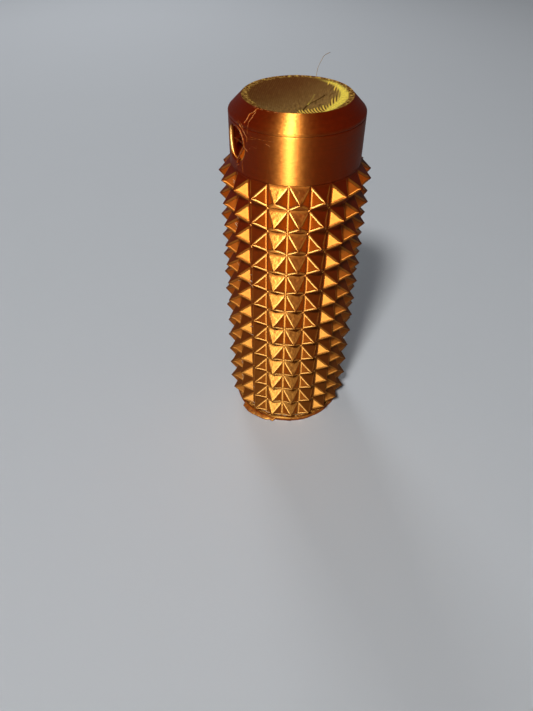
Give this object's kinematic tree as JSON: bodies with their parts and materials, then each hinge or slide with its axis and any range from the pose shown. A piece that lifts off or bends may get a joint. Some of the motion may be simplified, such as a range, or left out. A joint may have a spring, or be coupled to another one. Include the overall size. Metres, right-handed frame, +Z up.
{
  "type": "texture roller",
  "caption": "Hand texture roller: a pyramid-studded barrel spins on an axle under a smooth grip collar with a cross hole and a chamfered, dished top.",
  "frame": {"origin": "on the roller's axis, in the plane of the base flange that it stands on", "axes": "+Z up along the axle, from the base flange to the dished cap; X along the cross hole of the grip collar"},
  "size_m": [0.038, 0.038, 0.0953],
  "materials": {
    "copper_silk_plastic": "silk copper-orange printed plastic with fine layer lines",
    "core_plastic": "plain dark printed plastic",
    "steel": "turned steel",
    "bronze": "sintered bronze"
  },
  "bodies": {
    "barrel": {"texture_sleeve": "copper_silk_plastic", "core_drum": "core_plastic", "base_flange": "copper_silk_plastic", "flange_screw_1": "steel", "flange_screw_2": "steel", "flange_screw_3": "steel", "upper_bush": "bronze", "lower_bush": "bronze"},
    "grip": {"grip_collar": "copper_silk_plastic", "dished_cap": "copper_silk_plastic", "axle": "steel", "axle_cross_pin": "steel", "thrust_washer": "bronze", "retaining_washer": "steel", "retaining_screw": "steel"}
  },
  "joints": [
    {"name": "barrel_spin", "type": "hinge", "parent": "barrel", "child": "grip", "pos_m": [0, 0, 0.04], "axis": [0, 0, 1], "continuous": true}
  ]
}
